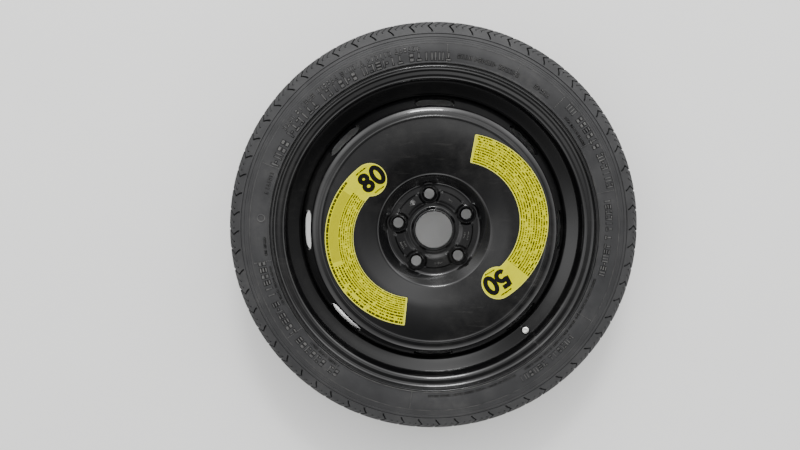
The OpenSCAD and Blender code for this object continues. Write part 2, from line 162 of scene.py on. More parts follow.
def bump(height, strength, distance):
    """Turn a height from 0 to 1 into a small relief; distance is in metres."""
    return height.node("ShaderNodeBump", {"Height": height, "Strength": strength, "Distance": distance})


# %% [markdown]
# Shapes: a wheel is nearly all profiles that are carried round an axis. A profile is a list of
# corner points with a fillet each, as on a drawing, turned into a fine polyline.


# %% Profile helpers
def unit(v):
    """The vector divided by its length."""
    v = np.asarray(v, float)
    return v / np.linalg.norm(v)


def fillet_reach(path, i):
    """How far a corner's fillet reaches along its legs: radius / tan(half the corner's angle)."""
    if i <= 0 or i >= len(path) - 1 or path[i][2] <= 0:
        return 0.0, 0.0
    p, a, b = (np.array(path[k][:2], float) for k in (i, i - 1, i + 1))
    half = math.acos(np.clip(unit(a - p) @ unit(b - p), -1, 1)) / 2
    return path[i][2] / math.tan(half), half


def rounded(path, step=7.0, chord=2.5):
    """A polyline through path with each corner replaced by an arc; legs are shared where two
    fillets would meet, in proportion to what each one asks for."""
    points = []
    for i, (r, z, _) in enumerate(path):
        want, half = fillet_reach(path, i)
        p = np.array((r, z), float)
        if not want:
            points.append(p)
            continue
        share = 1.0
        for k in (i - 1, i + 1):
            leg = np.linalg.norm(np.array(path[k][:2], float) - p)
            share = min(share, 0.98 * leg / (want + fillet_reach(path, k)[0]))
        u, v = unit(np.array(path[i - 1][:2]) - p), unit(np.array(path[i + 1][:2]) - p)
        radius = want * share * math.tan(half)
        centre = p + unit(u + v) * radius / math.sin(half)
        arm = p + u * want * share - centre
        bend = math.pi - 2 * half
        sweep = -bend if u[0] * v[1] - u[1] * v[0] > 0 else bend
        n = max(2, math.ceil(math.degrees(bend) / step), math.ceil(radius * bend / chord))
        t = sweep * np.arange(n + 1) / n
        points += list(centre + np.stack([arm[0] * np.cos(t) - arm[1] * np.sin(t),
                                          arm[0] * np.sin(t) + arm[1] * np.cos(t)], 1))
    return np.array(points)


def shifted(path, t):
    """The corner points moved to the left of their path by t, fillets kept concentric."""
    out = []
    for i, (r, z, f) in enumerate(path):
        a, b = (unit(np.array(path[min(max(k, 1), len(path) - 1)][:2], float)
                     - np.array(path[min(max(k, 1), len(path) - 1) - 1][:2], float)) for k in (i, i + 1))
        left = np.array([-a[1] - b[1], a[0] + b[0]]) / (1 + a @ b)
        turn = a[0] * b[1] - a[1] * b[0]
        radius = max(0.4, f - t if turn > 0 else f + t) if f > 0 else 0
        out.append((r + t * left[0], z + t * left[1], radius))
    return out


def spread(points, spacing):
    """The same polyline with long legs cut so that no leg is longer than spacing."""
    out = [points[:1]]
    for a, b in zip(points[:-1], points[1:]):
        n = max(1, math.ceil(np.linalg.norm(b - a) / spacing))
        out.append(a + (b - a) * np.arange(1, n + 1)[:, None] / n)
    return np.concatenate(out)


def outward(points):
    """Unit normals to the left of a polyline, from the mean direction at each point."""
    d = np.gradient(points, axis=0)
    n = np.stack([-d[:, 1], d[:, 0]], 1)
    return n / np.linalg.norm(n, axis=1, keepdims=True)


# %% [markdown]
# A grid of points and a rule for its faces make nearly every piece below. Faces are listed in
# the order that turns them outwards, so no normals have to be recalculated afterwards.


# %% Mesh helpers
def make_mesh(name, points, faces, material, body, uv=None, smooth=60.0):
    """An object from points in metres and an index array of faces; it rides on a body."""
    mesh = bpy.data.meshes.new(name)
    mesh.vertices.add(len(points))
    mesh.vertices.foreach_set("co", np.asarray(points, np.float32).ravel())
    corners = faces.shape[1]
    mesh.loops.add(faces.size)
    mesh.loops.foreach_set("vertex_index", faces.astype(np.int32).ravel())
    mesh.polygons.add(len(faces))
    mesh.polygons.foreach_set("loop_start", np.arange(0, faces.size, corners, dtype=np.int32))
    if uv is not None:
        layer = mesh.uv_layers.new(name="UVMap")
        layer.data.foreach_set("uv", np.asarray(uv, np.float32)[faces.ravel()].ravel())
    mesh.update(calc_edges=True)
    mesh.validate()
    mesh.shade_smooth()
    mesh.set_sharp_from_angle(angle=math.radians(smooth))
    mesh.materials.append(material)
    piece = bpy.data.objects.new(name, mesh)
    bpy.context.scene.collection.objects.link(piece)
    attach(piece, body)
    print(name, len(points), "points", len(faces), "faces")
    return piece


def grid_faces(rows, cols, wrap_rows=False, wrap_cols=False, flip=False):
    """Quads between neighbouring rows and columns of a grid of points."""
    i = np.arange(rows if wrap_rows else rows - 1)
    j = np.arange(cols if wrap_cols else cols - 1)
    i, j = np.meshgrid(i, j, indexing="ij")
    i2, j2 = (i + 1) % rows, (j + 1) % cols
    quads = np.stack([i * cols + j, i * cols + j2, i2 * cols + j2, i2 * cols + j], -1).reshape(-1, 4)
    return quads[:, ::-1] if flip else quads


def sheet_faces(rows, cols):
    """A closed sheet between two grids of points, one after the other: both sides and the wall
    round the border. The first grid's side faces as grid_faces does, the second's away."""
    n, upper = rows * cols, grid_faces(rows, cols)
    border = np.concatenate([np.arange(cols), np.arange(1, rows) * cols + cols - 1,
                             (rows - 1) * cols + np.arange(cols - 2, -1, -1),
                             np.arange(rows - 2, 0, -1) * cols])
    nxt = np.roll(border, -1)
    wall = np.stack([nxt, border, border + n, nxt + n], 1)
    return np.concatenate([upper, upper[:, ::-1] + n, wall])


def around(radius, height, angle):
    """Points of a surface of revolution, metres: (R cos a, R sin a, z)."""
    radius, height, angle = np.broadcast_arrays(radius, height, angle)
    return np.stack([radius * np.cos(angle), radius * np.sin(angle), height], -1) * MM


EVEN = 300
even_turn = np.arange(EVEN) * TAU / EVEN

# %% [markdown]
# Finishes. The wheel is black stoved paint over pressed steel: glossy, with a fine orange peel,
# dust that settles in soft patches and short scuffs from handling.


# %% Paint
def paint_black(place):
    """Gloss black, greyer and rougher where dust, specks and scuffs lie."""
    patches = noise(place, 9.0, 4.0).clip(0.42, 0.72)
    dust = noise(place, 55.0, 5.0, 0.65).clip(0.35, 0.8) * patches
    specks = noise(place, 420.0, 2.0).clip(0.70, 0.78) * 0.6
    scuffs = noise(stretched(place, (30.0, 240.0, 60.0)), 1.0, 3.0).clip(0.62, 0.72) * patches
    grime = dust * 0.25 + scuffs * 0.2 + specks * 0.35
    return {
        "Base Color": grime.tint((0.0030, 0.0030, 0.0033, 1), (0.060, 0.058, 0.054, 1)),
        "Roughness": dust * 0.16 + scuffs * 0.12 + noise(place, 24.0) * 0.06 + 0.10,
        "Normal": bump(noise(place, 520.0, 1.0) + scuffs * 0.4, 0.05, 0.0004),
    }


def clouded(first, second, cloud, gloss, clip=None, grain=None):
    """A plain finish that mixes two colours by noise. cloud is that noise's scale, detail and
    roughness; gloss is the share of it and the constant that make the surface's roughness;
    grain is a finer noise's scale with the strength and distance of its bump."""
    def paint(place):
        tone = noise(place, *cloud)
        if clip:
            tone = tone.clip(*clip)
        look = {"Base Color": tone.tint((*first, 1), (*second, 1)),
                "Roughness": tone * gloss[0] + gloss[1]}
        if grain:
            look["Normal"] = bump(noise(place, grain[0]), *grain[1:])
        return look
    return paint


def weld_paint(place):
    """Black paint over rippled weld metal."""
    ripple = noise(place, 260.0, 3.0)
    return {
        "Base Color": ripple.tint((0.009, 0.009, 0.0095, 1), (0.035, 0.03, 0.027, 1)),
        "Roughness": ripple * 0.3 + 0.3,
        "Normal": bump(ripple, 0.6, 0.0012),
    }


# %% [markdown]
# The other finishes. Tyre rubber is matt and dusty, the valve's parts are turned brass, and the
# labels are printed film. Several differ only in their numbers, so one function mixes two
# colours by noise for all of them. The rows of print could be an image, but worked out from the
# film's own distances they stay sharp close up.


# %% Rubbers, metals and film
def tyre_rubber(place):
    """Dark rubber: clouds, grain and streaks set its tone, and dust lies on it in patches."""
    cloud = noise(place, 14.0, 4.0)
    grain = noise(place, 900.0, 2.0)
    streak = noise(stretched(place, (40.0, 40.0, 300.0)), 1.0, 3.0)
    dust = cloud.clip(0.5, 0.75) * noise(place, 120.0, 4.0).clip(0.4, 0.75)
    tone = cloud * 0.5 + grain * 0.25 + streak * 0.25
    base = tone.clip(0.3, 0.7).tint((0.010, 0.0102, 0.0110, 1), (0.036, 0.036, 0.037, 1))
    return {
        "Base Color": (dust * 0.3).tint(base, (0.10, 0.097, 0.09, 1)),
        "Roughness": grain * 0.2 + dust * 0.15 + 0.50,
        "Normal": bump(grain, 0.35, 0.0005),
    }


def turned_metal(shade, worn, rough):
    """Metal with fine turning rings, tarnished from one shade to the other."""
    def paint(place):
        rings = noise(stretched(place, (300.0, 300.0, 4000.0)), 1.0, 2.0)
        tarnish = noise(place, 500.0, 3.0)
        return {
            "Base Color": tarnish.clip(0.3, 0.8).tint(shade, worn),
            "Roughness": rings * 0.12 + tarnish * 0.1 + rough,
            "Normal": bump(rings, 0.15, 0.0001),
        }
    return paint


def coordinate(place, layer, axis):
    """One axis of a UV layer; the labels keep real distances in theirs, in metres."""
    uv = place.node("ShaderNodeUVMap", uv_map=layer)
    return place.node("ShaderNodeSeparateXYZ", {0: uv}, out=axis)


def window(value, low, high):
    """1 between low and high, else 0."""
    return (value > low) * (value < high)


def rows_of_print(arc, radius, low, high, count, start, end, letter):
    """Rows of small dashes that stand for print: rows by radius, letters and words by noise."""
    t = (radius - low * MM) * (count / ((high - low) * MM))
    row = t.math("FLOOR")
    line = window(t - row, 0.18, 0.76)
    place = row.node("ShaderNodeCombineXYZ", {0: arc * (1 / (letter * MM)), 1: row * 9.17})
    marks = (noise(place, 1.0, 0.0) > 0.42) * (noise(stretched(place, (0.16, 1, 1)), 1.0, 0.0) > 0.36)
    return line * marks * window(radius, low * MM, high * MM) * window(arc, start * MM, end * MM)


def label_film(rows, field=None):
    """Yellow film with a pale margin, a dark cut edge, rows of print and a darker field. A row
    is (inner and outer radius, count, start and end of the arc, letter size) in mm."""
    def paint(place):
        edge = coordinate(place, "UVMap", "X")
        arc, radius = coordinate(place, "polar", "X"), coordinate(place, "polar", "Y")
        cloud = noise(place, 30.0, 4.0)
        grey = noise(place, 90.0, 5.0, 0.7).clip(0.5, 0.85) * 0.35
        ink = cloud.tint((0.47, 0.46, 0.0, 1), (0.56, 0.55, 0.0, 1))
        if field:
            low, high, start, end = (v * MM for v in field)
            ink = (window(radius, low, high) * window(arc, start, end)).tint(ink, (0.36, 0.345, 0.0, 1))
        ink = grey.tint(ink, (0.24, 0.22, 0.0, 1))
        for row in rows:
            ink = (rows_of_print(arc, radius, *row) * 0.95).tint(ink, (0.012, 0.010, 0.0, 1))
        ink = edge.clip(0.0014, 0.0018).tint((0.62, 0.62, 0.12, 1), ink)
        ink = edge.clip(0.0006, 0.0009).tint((0.01, 0.01, 0.008, 1), ink)
        return {"Base Color": ink, "Roughness": cloud * 0.15 + grey * 0.3 + 0.40,
                "Normal": bump(noise(place, 600.0), 0.05, 0.0002)}
    return paint


def ink_black(place):
    """Black print, worn thin in small spots."""
    wear = noise(place, 700.0, 3.0)
    return {"Base Color": wear.clip(0.6, 0.85).tint((0.003, 0.003, 0.003, 1), (0.03, 0.027, 0.008, 1)),
            "Roughness": wear * 0.2 + 0.35}


black_paint = finish("black_paint", paint_black, Coat_Roughness=0.03, Coat_Weight=0.5,
                     Specular_IOR_Level=0.3)
painted_weld = finish("painted_weld", weld_paint)
# Stamped marks are rubbed grey on top
rubbed = clouded((0.008, 0.008, 0.008), (0.075, 0.074, 0.070), (150.0, 4.0, 0.6), (0.3, 0.2),
                 clip=(0.35, 0.7))
rubbed_paint = finish("worn_paint", rubbed, Coat_Weight=0.2)
rubber = finish("tyre_rubber", tyre_rubber, Specular_IOR_Level=0.35)
# Moulded marks are painted greyer than the sidewall round them, partly wear and dust, partly painted
# highlight; the step at their foot is painted dark as painted shade
worn = clouded((0.030, 0.030, 0.031), (0.115, 0.113, 0.108), (60.0, 5.0, 0.65), (0.2, 0.42),
               clip=(0.35, 0.75), grain=(900.0, 0.15, 0.0003))
shaded = clouded((0.002, 0.002, 0.0022), (0.006, 0.006, 0.0062), (80.0, 3.0), (0.15, 0.6),
                 grain=(900.0, 0.1, 0.0003))
raised_rubber = finish("raised_rubber", worn, Specular_IOR_Level=0.4)
painted_shade_rubber = finish("painted_shade_rubber", shaded, Specular_IOR_Level=0.15)
smooth_rubber = clouded((0.012, 0.012, 0.013), (0.03, 0.03, 0.031), (300.0, 3.0), (0.25, 0.38),
                        grain=(1500.0, 0.2, 0.0002))
valve_rubber = finish("valve_rubber", smooth_rubber)
seal_rubber = finish("seal_rubber", smooth_rubber)
red_ring = finish("red_seal", clouded((0.30, 0.03, 0.015), (0.42, 0.06, 0.03), (800.0,), (0.2, 0.4)))
cap_metal, brass, spring_steel = (
    finish(name, turned_metal(shade, worn, rough), Metallic=1.0) for name, shade, worn, rough in (
        ("cap_metal", (0.80, 0.80, 0.77, 1), (0.62, 0.62, 0.58, 1), 0.22),
        ("valve_brass", (0.70, 0.50, 0.20, 1), (0.45, 0.33, 0.15, 1), 0.25),
        ("spring_steel", (0.55, 0.55, 0.57, 1), (0.35, 0.35, 0.36, 1), 0.3)))
ARC = 136.5 * math.radians(1)  # mm along a label's outer edge for one degree
head_rows = [(127.6, 131.4, 1, 131 * ARC, 140 * ARC, 1.3), (89.2, 92.6, 1, 133 * ARC, 144 * ARC, 1.2)]
left_rows = [(92.8, 116, 7, 2 * ARC, 121 * ARC, 0.9), (116, 129.5, 3, 2 * ARC, 64 * ARC, 1.5),
             (129.6, 135.6, 1, 1.5 * ARC, 124 * ARC, 1.7)]
right_rows = [(93.5, 135.5, 11, 2.5 * ARC, 118 * ARC, 1.0)]
left_paint = label_film(left_rows + head_rows, field=(116, 129.5, 67 * ARC, 118 * ARC))
left_film = finish("yellow_film_left", left_paint, Specular_IOR_Level=0.06)
right_film = finish("yellow_film_right", label_film(right_rows + head_rows), Specular_IOR_Level=0.06)
print_ink = finish("print_ink", ink_black, Specular_IOR_Level=0.12)
print("finishes", len(bpy.data.materials))

# %% Finishes for the solids that stay
node_finish = {"valve_body": valve_rubber, "valve_stem": brass, "valve_cap_seal": seal_rubber,
               "valve_core_barrel": brass, "valve_core_gasket": red_ring, "valve_core_pin": brass,
               "valve_core_cup": brass, "valve_core_spring": spring_steel}
for i in range(8):
    node_finish["weld_seam_%d" % (i + 1)] = painted_weld
for name, material in node_finish.items():
    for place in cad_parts[name].material_slots:
        place.material = material
print("finished solids", len(node_finish))

# %% [markdown]
# The rim is one sheet rolled to a section: lip, flange curl, bead seat, hump and well. A Screw
# modifier could turn the section, but a grid lets the rolled sheet wave a little and rise in
# a weld at one angle. Its corner points are the solid's, carried round in fine steps.

# %% Rim
RIM_D, RIM_W, OFFSET, RIM_T = 462.0, 101.6, 28.0, 2.8
FLANGE_H, CURL_R, SEAT_W, WELL_DEPTH, WALL_TILT = 17.3, 9.5, 17.5, 21.8, math.radians(18.5)
seat_r = RIM_D / 2
well_r = seat_r - WELL_DEPTH
seat_in_z = RIM_W / 2 - SEAT_W
seat_in_r = seat_r - SEAT_W * math.tan(math.radians(5))
hump_z = seat_in_z - 3
wall_top_z = hump_z - 3.4
flange = [(seat_r + FLANGE_H, RIM_W / 2 + CURL_R + 1.3, 0), (seat_r + FLANGE_H, RIM_W / 2, CURL_R),
          (seat_r, RIM_W / 2, 5), (seat_in_r, seat_in_z, 2.5), (seat_in_r + 0.9, hump_z, 3.5),
          (seat_in_r, wall_top_z, 4)]
well_foot = wall_top_z - (seat_in_r - well_r) * math.tan(WALL_TILT)
inboard_flange = [(r, -z, f) for r, z, f in flange[::-1]]
rim_path = flange + [(well_r, well_foot, 4), (well_r, -15, 8)] + inboard_flange
tyre_side = spread(rounded(rim_path), 6.0)
air_side = spread(rounded(shifted(rim_path, -RIM_T)), 6.0)


def lip_round(a, b):
    """A half round end between the two sides of a sheet, so that the cut edge is not sharp."""
    mid, half = (a + b) / 2, (b - a) / 2
    t = np.linspace(0, math.pi, 7)[1:-1, None]
    side = np.array([half[1], -half[0]])
    return mid - half * np.cos(t) + side * np.sin(t) * 0.35


rim_loop = np.concatenate([tyre_side, lip_round(tyre_side[-1], air_side[-1]),
                           air_side[::-1], lip_round(air_side[0], tyre_side[0])])
rim_loop[:, 1] -= OFFSET
weld_at = math.radians(-48.1)
weld_turn = (weld_at + np.radians(np.linspace(-1.2, 1.2, 25))) % TAU
rim_turn = np.unique(np.concatenate([even_turn, weld_turn]))
rim_normal = outward(np.vstack([rim_loop[-1], rim_loop, rim_loop[0]]))[1:-1]
bead_of_weld = 0.22 * np.exp(-((rim_turn - weld_at % TAU) / math.radians(0.35)) ** 2)
wavy = 0.04 * np.sin(rim_turn * 9 + 0.7) + 0.03 * np.sin(rim_turn * 23)
rim_grid = around(rim_loop[:, :1] + rim_normal[:, :1] * bead_of_weld + wavy,
                  rim_loop[:, 1:] + rim_normal[:, 1:] * bead_of_weld, rim_turn[None])
rim = make_mesh("rim_sheet", rim_grid.reshape(-1, 3),
                grid_faces(len(rim_loop), len(rim_turn), True, True, flip=True), black_paint,
                "wheel")
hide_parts("rim")

# %% [markdown]
# The disc is one pressing: a collar round the bore, a flat nave with bosses and pads, a steep
# wall, a wide face that ends in a small ridge, a rounded shoulder and a slope with windows. Its
# surface is a function of two parameters, the distance along the profile and the angle. A
# Boolean could cut the holes, but its long thin faces would show in the gloss paint. Here the
# holes are outlines on the plane of the two parameters, and a triangulation keeps to them.

# %% Disc profile
DISC_T, BORE_R, COLLAR_H, COLLAR_W = 4.0, 28.55, 11.0, 9.5
NAVE_R, LEVEL_H, CREST_H, BEAD_H = 71.0, 26.5, 30.0, 0.8
skirt_r = well_r - RIM_T - 0.1
crest_r = skirt_r - 30
crease_r = NAVE_R + 16
face_w = crest_r - crease_r
shoulder_r, shoulder_h = crest_r + 10.5, CREST_H - 4
face_run = [(crease_r, 21.5, 6), (crease_r + 0.33 * face_w, LEVEL_H, 160),
            (crease_r + 0.615 * face_w, CREST_H - BEAD_H - 0.3, 400),
            (crest_r - 6, CREST_H - BEAD_H, 3), (crest_r - 4.4, CREST_H, 1.5),
            (crest_r - 3.4, CREST_H, 1.5), (crest_r - 1.8, CREST_H - 0.61, 2),
            (crest_r + 2, CREST_H - 0.65, 8), (crest_r + 6, CREST_H - 1.7, 20)]
slope_run = [(shoulder_r, shoulder_h, 6), (skirt_r, -8, 7), (skirt_r, -26, 0)]
nave_run = [(BORE_R + 12, DISC_T, 0), (NAVE_R, DISC_T, 5)]
collar_run = [(BORE_R, COLLAR_H - 0.6, 0), (BORE_R + 0.5, COLLAR_H, 0),
              (BORE_R + 2.6, COLLAR_H, 1.4), (BORE_R + 6.6, DISC_T, 2.5)]
front = spread(rounded(collar_run + nave_run + face_run + slope_run), 2.4)
front_s = np.concatenate([[0], np.cumsum(np.linalg.norm(np.diff(front, axis=0), axis=1))])
front_n = outward(front)
print("disc profile", len(front), "rows", round(front_s[-1], 1), "mm long")


def along(s):
    """Radius, height and unit normal of the disc's face at a distance s along its profile."""
    r, z = np.interp(s, front_s, front[:, 0]), np.interp(s, front_s, front[:, 1])
    n = np.stack([np.interp(s, front_s, front_n[:, k]) for k in (0, 1)], -1)
    return r, z, n / np.linalg.norm(n, axis=-1, keepdims=True)


def s_at_radius(radius):
    """The distance along the profile at which the face has this radius (face only)."""
    return np.interp(radius, front[:, 0], front_s)


# %% Disc relief
def on_circle(radius, degrees):
    """Places in plan (mm) at a radius and angles in degrees."""
    turn = np.radians(degrees)
    return radius * np.stack([np.cos(turn), np.sin(turn)], -1)


BOLTS = on_circle(56, 25.2 + 72 * np.arange(5))
PIN = on_circle(53, 128.4)
BOSS_H, PAD_H, SEAT_R, SEAT_EDGE_R, HOLE_R = 5.5, 2.0, 13.0, 12.3, 7.9
RELIEF_R = 96  # all pressed forms of the nave lie within this radius


def smooth(x, low, high):
    """0 below low, 1 above high, with a soft S between them."""
    t = np.clip((x - low) / (high - low), 0, 1)
    return t * t * (3 - 2 * t)


def bolt_distance(x, y):
    """Distance in plan to the nearest bolt's axis."""
    return np.min(np.hypot(x[..., None] - BOLTS[:, 0], y[..., None] - BOLTS[:, 1]), -1)


def pressed(x, y, base):
    """Height of the nave's pressed forms over base: pads, bosses, ball seats and bolt pockets.
    A ball seat is a dish: z = top + sqrt(R^2 - edge^2) - sqrt(R^2 - d^2), d from the bolt's axis."""
    radius, d = np.hypot(x, y), bolt_distance(x, y)
    pad_band = smooth(radius, 41.6, 43.6) * (1 - smooth(radius, 59.4, 61.4))
    pad = PAD_H * pad_band * smooth(d, 15.4, 17.2)
    boss = BOSS_H * (1 - smooth(d, 12.9, 15.3)) * (base < 12)
    drop = math.sqrt(SEAT_R ** 2 - SEAT_EDGE_R ** 2) - np.sqrt(np.maximum(SEAT_R ** 2 - d ** 2, 1))
    top = np.where(d < SEAT_EDGE_R, DISC_T + BOSS_H + drop, base + pad + boss)
    pocket = (1 - smooth(d, 17.2, 19.0)) * smooth(radius, 60, 68)
    top = top + pocket * (np.minimum(base, DISC_T + 0.3 + boss) - base)
    return top - base


# %% Disc outlines on the parameter plane
def circle(centre, radius, n):
    """n even points round a centre."""
    return centre + on_circle(radius, np.arange(n) * 360 / n)


def to_plane(x, y):
    """Real place on the nave or face to the parameter plane, where the radius is the distance
    along the profile plus the bore's radius."""
    s, a = BORE_R + s_at_radius(np.hypot(x, y)), np.arctan2(y, x)
    return np.stack([s * np.cos(a), s * np.sin(a)], -1)


slope_mid_s = (s_at_radius(shoulder_r) + s_at_radius(skirt_r - 0.5)) / 2 + 0.5
WINDOW_W, WINDOW_H = 62.0, 30.0


def window_outline(turn, grow, n=22):
    """A slot with round ends on the slope: (across, along) pairs in mm, bent round the wheel."""
    end, r = (WINDOW_W - WINDOW_H) / 2, WINDOW_H / 2 + grow
    t = np.linspace(-math.pi / 2, math.pi / 2, n)
    lobe = np.stack([end + r * np.cos(t), r * np.sin(t)], 1)
    side = np.stack([np.linspace(end, -end, 12)[1:-1], np.full(10, r)], 1)
    loop = np.concatenate([lobe, side, -lobe, -side])
    s = slope_mid_s + loop[:, 1]
    a = turn + np.arcsin(loop[:, 0] / along(s)[0])
    return np.stack([(BORE_R + s) * np.cos(a), (BORE_R + s) * np.sin(a)], -1)


holes = [to_plane(*circle(c, HOLE_R, 72).T) for c in BOLTS] + [to_plane(*circle(PIN, 4.2, 40).T)]
holes += [window_outline(math.radians(45 * i), 0) for i in range(8)]
rings = [to_plane(*circle(c, r, 72).T) for c in BOLTS
         for r in (8.4, 9.6, 11.0, 12.1, 12.5, 12.9, 13.7, 14.5, 15.3, 16.2, 17.2, 18.1, 19.0)]
rings += [to_plane(*circle(PIN, r, 40).T) for r in (4.7, 5.6)]
rings += [window_outline(math.radians(45 * i), g) for i in range(8) for g in (0.7, 1.6, 2.8)]
print("holes", len(holes), "rings", len(rings))


# %% Triangulate the disc
def inside(points, loop):
    """Even-odd test of many points against one closed outline."""
    x, y = points[:, 0], points[:, 1]
    hit = np.zeros(len(points), bool)
    for (x0, y0), (x1, y1) in zip(loop, np.roll(loop, -1, 0)):
        if y0 != y1:
            hit ^= ((y0 > y) != (y1 > y)) & (x < (x1 - x0) * (y - y0) / (y1 - y0) + x0)
    return hit


def clear_of(points, centre, radius):
    """Which points lie further from a centre than a radius."""
    return np.hypot(points[:, 0] - centre[0], points[:, 1] - centre[1]) > radius


turn_pairs = np.stack([np.cos(even_turn), np.sin(even_turn)], -1)
plane_grid = (BORE_R + front_s)[:, None, None] * turn_pairs[None]
first, last = plane_grid[0], plane_grid[-1]
middle = plane_grid[1:-1].reshape(-1, 2)
# The relief's own rings of points take the place of the grid round each hole
real_r = np.interp(np.hypot(*middle.T) - BORE_R, front_s, front[:, 0])
angle = np.arctan2(middle[:, 1], middle[:, 0])
real = np.stack([real_r * np.cos(angle), real_r * np.sin(angle)], 1)
keep = np.ones(len(middle), bool)
for centre, reach in [(c, 19.6) for c in BOLTS] + [(PIN, 6.2)]:
    keep &= clear_of(real, centre, reach)
for i in range(8):
    outline = window_outline(math.radians(45 * i), 3.6)
    near = ~clear_of(middle, outline.mean(0), 60)
    keep[near] &= ~inside(middle[near], outline)
middle = middle[keep]
parts = [first, last] + holes + rings + [middle]
starts = np.cumsum([0] + [len(p) for p in parts])
flat = np.concatenate(parts)
edges = []
for k in range(2 + len(holes)):
    n = len(parts[k])
    edges += [(starts[k] + i, starts[k] + (i + 1) % n) for i in range(n)]
found = delaunay_2d_cdt([Vector(p) for p in flat], [(int(a), int(b)) for a, b in edges], [], 0, 1e-7)
flat = np.array([tuple(v) for v in found[0]])
tris = np.array(found[2])
mid = flat[tris].mean(1)
good = np.hypot(*mid.T) > BORE_R * math.cos(math.pi / EVEN)
for loop in holes:
    near = ~clear_of(mid, loop.mean(0), 60)
    good[near] &= ~inside(mid[near], loop)
tris = tris[good]
print("disc triangles", len(tris), "points", len(flat))


# %% Disc shell
def disc_surface(points, side):
    """Lift points of the parameter plane to the disc's outboard (+1) or inboard (-1) surface."""
    s = np.hypot(*points.T) - BORE_R
    a = np.arctan2(points[:, 1], points[:, 0])
    r, z, n = along(s)
    x, y = r * np.cos(a), r * np.sin(a)
    relief = pressed(x, y, z) * (r < RELIEF_R)
    if side > 0:
        return np.stack([x, y, z + relief], -1) * MM
    # Inside the collar the underside is the flat mounting face with a chamfer at the bore
    collar = r <= BORE_R + COLLAR_W
    deep = np.clip(relief, -3, PAD_H) * smooth(bolt_distance(x, y), 15.4, 17.2) * (r > 40)
    rb = np.where(collar, r, r - n[:, 0] * DISC_T)
    chamfer = (1 - smooth(r, BORE_R, BORE_R + 2.4)) * 2.4
    zb = np.where(collar, chamfer, z - n[:, 1] * DISC_T)
    return np.stack([rb * np.cos(a), rb * np.sin(a), zb + deep * (r < RELIEF_R)], -1) * MM


def boundary_edges(faces):
    """Directed edges used by one triangle only: the rims of the holes and of the sheet."""
    e = np.concatenate([faces[:, [0, 1]], faces[:, [1, 2]], faces[:, [2, 0]]])
    key = np.sort(e, 1)
    _, index, count = np.unique(key, axis=0, return_index=True, return_counts=True)
    return e[index[count == 1]]


a, b, c = (flat[tris[:, k]] for k in range(3))
wrong = (b[:, 0] - a[:, 0]) * (c[:, 1] - a[:, 1]) - (b[:, 1] - a[:, 1]) * (c[:, 0] - a[:, 0]) < 0
tris[wrong] = tris[wrong][:, ::-1]
rim_edges = boundary_edges(tris)
n = len(flat)
walls = np.concatenate([np.stack([rim_edges[:, 1], rim_edges[:, 0], rim_edges[:, 0] + n], 1),
                        np.stack([rim_edges[:, 1], rim_edges[:, 0] + n, rim_edges[:, 1] + n], 1)])
shell = np.concatenate([tris, tris[:, ::-1] + n, walls])
disc = make_mesh("disc_pressing", np.concatenate([disc_surface(flat, 1), disc_surface(flat, -1)]),
                 shell, black_paint, "wheel", smooth=38)
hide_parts("disc")

# %% [markdown]
# The pads between the bolt holes carry short rows of stamped marks: plain bars, rubbed grey on
# top, that turn with the arc they stand on.


# %% Stamped marks on the pads
STAMP_W, STAMP_L, STAMP_H, STAMP_SINK = 1.5, 3.6, 0.45, 0.3


def stamped(name, places):
    """Small plain raised bars on the pads between the bosses: (x, y, turn in degrees) each, mm."""
    x, y, turn = np.array(places, float).T
    foot = np.array([(-1, -1), (1, -1), (1, 1), (-1, 1)]) * np.array((STAMP_W, STAMP_L)) / 2
    corners = np.concatenate([foot, foot * 0.72])
    c, n = np.cos(np.radians(turn))[:, None], np.sin(np.radians(turn))[:, None]
    z = DISC_T + PAD_H + np.where(np.arange(8) < 4, -STAMP_SINK, STAMP_H)[None] + 0 * c
    points = np.stack([x[:, None] + corners[:, 0] * c - corners[:, 1] * n,
                       y[:, None] + corners[:, 0] * n + corners[:, 1] * c, z], -1) * MM
    one = np.array([(0, 3, 2, 1), (4, 5, 6, 7), (0, 1, 5, 4), (1, 2, 6, 5), (2, 3, 7, 6), (3, 0, 4, 7)])
    faces = (one[None] + 8 * np.arange(len(places))[:, None, None]).reshape(-1, 4)
    return make_mesh(name, points.reshape(-1, 3), faces, rubbed_paint, "wheel", smooth=20)


def stamp_row(radius, middle, count, gap=2.6):
    """Marks in a short row along an arc of the pads."""
    at = middle + np.degrees((np.arange(count) - (count - 1) / 2) * gap / radius)
    return [(*on_circle(radius, a), a - 90 + 90 * (k % 3 == 1)) for k, a in enumerate(at)]


stamp_rows = [(54.5, -11, 5), (49, -11, 4), (55.5, -153, 5), (50, -153, 4), (53.5, -82, 5),
              (52, 60, 3), (52, 132, 2)]
stamps = stamped("pad_stamps", [mark for row in stamp_rows for mark in stamp_row(*row)])

# %% [markdown]
# The tyre is four closed rings: a tread and a sidewall for each side, which meet in the crease
# below the shoulder. Each is a grid whose rows follow the section outside and come back along
# the lining. The tread's columns go round in sixty-four pitches of three lengths and bend with
# the slots, so slot walls stay crisp; the sidewall's are even. The slots could be cut one by one,
# but pushing each point in by a depth that its place gives makes them all at once.

